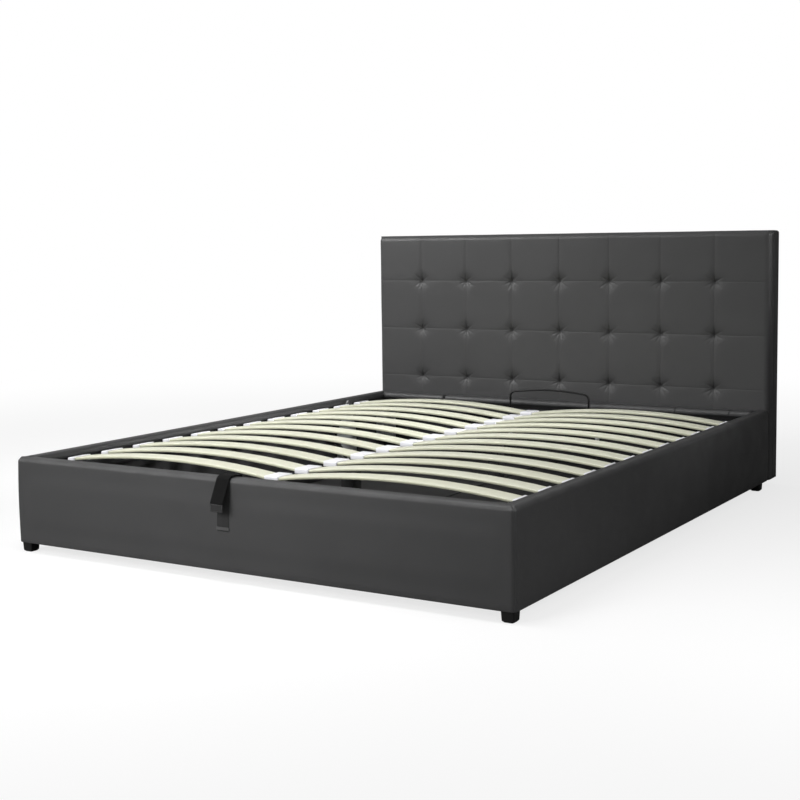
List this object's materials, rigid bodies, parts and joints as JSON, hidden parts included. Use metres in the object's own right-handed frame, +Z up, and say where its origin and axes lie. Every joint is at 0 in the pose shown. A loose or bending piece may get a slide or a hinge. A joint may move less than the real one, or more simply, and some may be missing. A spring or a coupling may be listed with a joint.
{
  "type": "storage bed",
  "caption": "Upholstered storage bed with a tufted headboard, bowed slats on a hinged platform lifted by gas struts, a pull strap and a box for bedding below.",
  "frame": {"origin": "on the floor under the middle of the bed's box", "axes": "+Y from the foot end to the headboard, +X to the right seen from the foot end, +Z up"},
  "size_m": [1.7, 2.2242, 0.96],
  "materials": {
    "upholstery": "fine matte grain",
    "lining": "non-woven black",
    "panel_board": "raw chipboard, covered",
    "timber": "sawn pine, covered",
    "floor_board": "black laminated fibreboard",
    "black_steel": "satin black powder coat",
    "plated_steel": "zinc plated",
    "bright_rod": "hard chrome",
    "slat_wood": "pale laminated birch, satin",
    "cap_plastic": "smooth white",
    "foot_plastic": "satin black",
    "webbing": "woven black tape"
  },
  "bodies": {
    "bed_base": {"foot_rail_cover": "upholstery", "right_rail_cover": "upholstery", "left_rail_cover": "upholstery", "head_rail_cover": "upholstery", "headboard_pad": "upholstery", "headboard_left_border": "upholstery", "headboard_right_border": "upholstery", "headboard_top_border": "upholstery", "headboard_back_lining": "lining", "foot_rail_board": "panel_board", "right_rail_board": "panel_board", "left_rail_board": "panel_board", "head_rail_board": "panel_board", "headboard_board": "panel_board", "headboard_left_post": "timber", "headboard_right_post": "timber", "headboard_cross_rails": "timber", "floor_left_panel": "floor_board", "floor_right_panel": "floor_board", "floor_beam": "floor_board", "left_floor_cleat": "floor_board", "right_floor_cleat": "floor_board", "front_centre_post": "floor_board", "rear_centre_post": "floor_board", "left_ledger": "black_steel", "right_ledger": "black_steel", "foot_ledger": "black_steel", "corner_brackets": "black_steel", "left_lift_bracket": "plated_steel", "right_lift_bracket": "plated_steel", "left_hinge_pin": "plated_steel", "right_hinge_pin": "plated_steel", "corner_screws": "plated_steel", "bracket_screws": "plated_steel", "headboard_bolts": "plated_steel", "front_left_foot": "foot_plastic", "front_right_foot": "foot_plastic", "rear_left_foot": "foot_plastic", "rear_right_foot": "foot_plastic", "centre_feet": "foot_plastic"},
    "platform": {"platform_foot_tube": "black_steel", "platform_head_tube": "black_steel", "platform_left_tube": "black_steel", "platform_right_tube": "black_steel", "platform_centre_tube": "black_steel", "mattress_stop": "black_steel", "left_lift_arm": "plated_steel", "right_lift_arm": "plated_steel", "arm_bolts": "plated_steel", "left_slats": "slat_wood", "right_slats": "slat_wood", "side_caps": "cap_plastic", "centre_caps": "cap_plastic", "strap_anchor": "webbing"},
    "left_barrel": {"left_strut_barrel": "black_steel"},
    "right_barrel": {"right_strut_barrel": "black_steel"},
    "left_rod": {"left_strut_rod": "bright_rod"},
    "right_rod": {"right_strut_rod": "bright_rod"},
    "strap": {"pull_strap": "webbing"}
  },
  "joints": [
    {"name": "platform_lift", "type": "hinge", "parent": "bed_base", "child": "platform", "pos_m": [0, 0.66385, 0.27], "axis": [-1, 0, 0], "range_deg": [0, 40]},
    {"name": "left_barrel_swing", "type": "hinge", "parent": "bed_base", "child": "left_barrel", "pos_m": [-0.772, 0.60697, 0.05748], "axis": [-1, 0, 0], "range_deg": [0, 20]},
    {"name": "left_rod_swing", "type": "hinge", "parent": "platform", "child": "left_rod", "pos_m": [-0.772, 0.45136, 0.213], "axis": [-1, 0, 0], "range_deg": [-20, 0]},
    {"name": "right_barrel_swing", "type": "hinge", "parent": "bed_base", "child": "right_barrel", "pos_m": [0.772, 0.60697, 0.05748], "axis": [-1, 0, 0], "range_deg": [0, 20]},
    {"name": "right_rod_swing", "type": "hinge", "parent": "platform", "child": "right_rod", "pos_m": [0.772, 0.45136, 0.213], "axis": [-1, 0, 0], "range_deg": [-20, 0]},
    {"name": "strap_swing", "type": "hinge", "parent": "platform", "child": "strap", "pos_m": [-0.042, -1.08285, 0.2983], "axis": [-1, 0, 0], "range_deg": [0, 110]}
  ],
  "couplings": [
    {"joint": "left_barrel_swing", "follows": "platform_lift", "ratio": 0.5},
    {"joint": "left_rod_swing", "follows": "platform_lift", "ratio": -0.5},
    {"joint": "right_barrel_swing", "follows": "platform_lift", "ratio": 0.5},
    {"joint": "right_rod_swing", "follows": "platform_lift", "ratio": -0.5}
  ]
}
